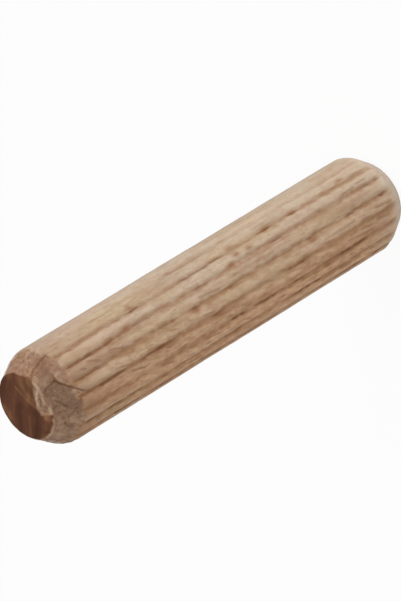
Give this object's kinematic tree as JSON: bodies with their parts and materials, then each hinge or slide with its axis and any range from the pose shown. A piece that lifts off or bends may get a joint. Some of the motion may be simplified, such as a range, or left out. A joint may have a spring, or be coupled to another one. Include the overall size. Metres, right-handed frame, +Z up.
{
  "type": "dowel pin",
  "caption": "Straight round wooden dowel pin with pressed flutes along its length and eased chamfers at both ends, glued into matching holes to align and join two boards.",
  "frame": {"origin": "centre of the lower end face, on which the pin stands", "axes": "+Z up the axis of the pin, from the lower end to the upper end; +X and +Y each cross the middle of a land"},
  "size_m": [0.008, 0.008, 0.04],
  "materials": {
    "beech": "bare pressed beech, long grain along the pin, burnished brown end grain on the sawn ends"
  },
  "bodies": {
    "root": {"dowel_pin": "beech"}
  },
  "joints": []
}
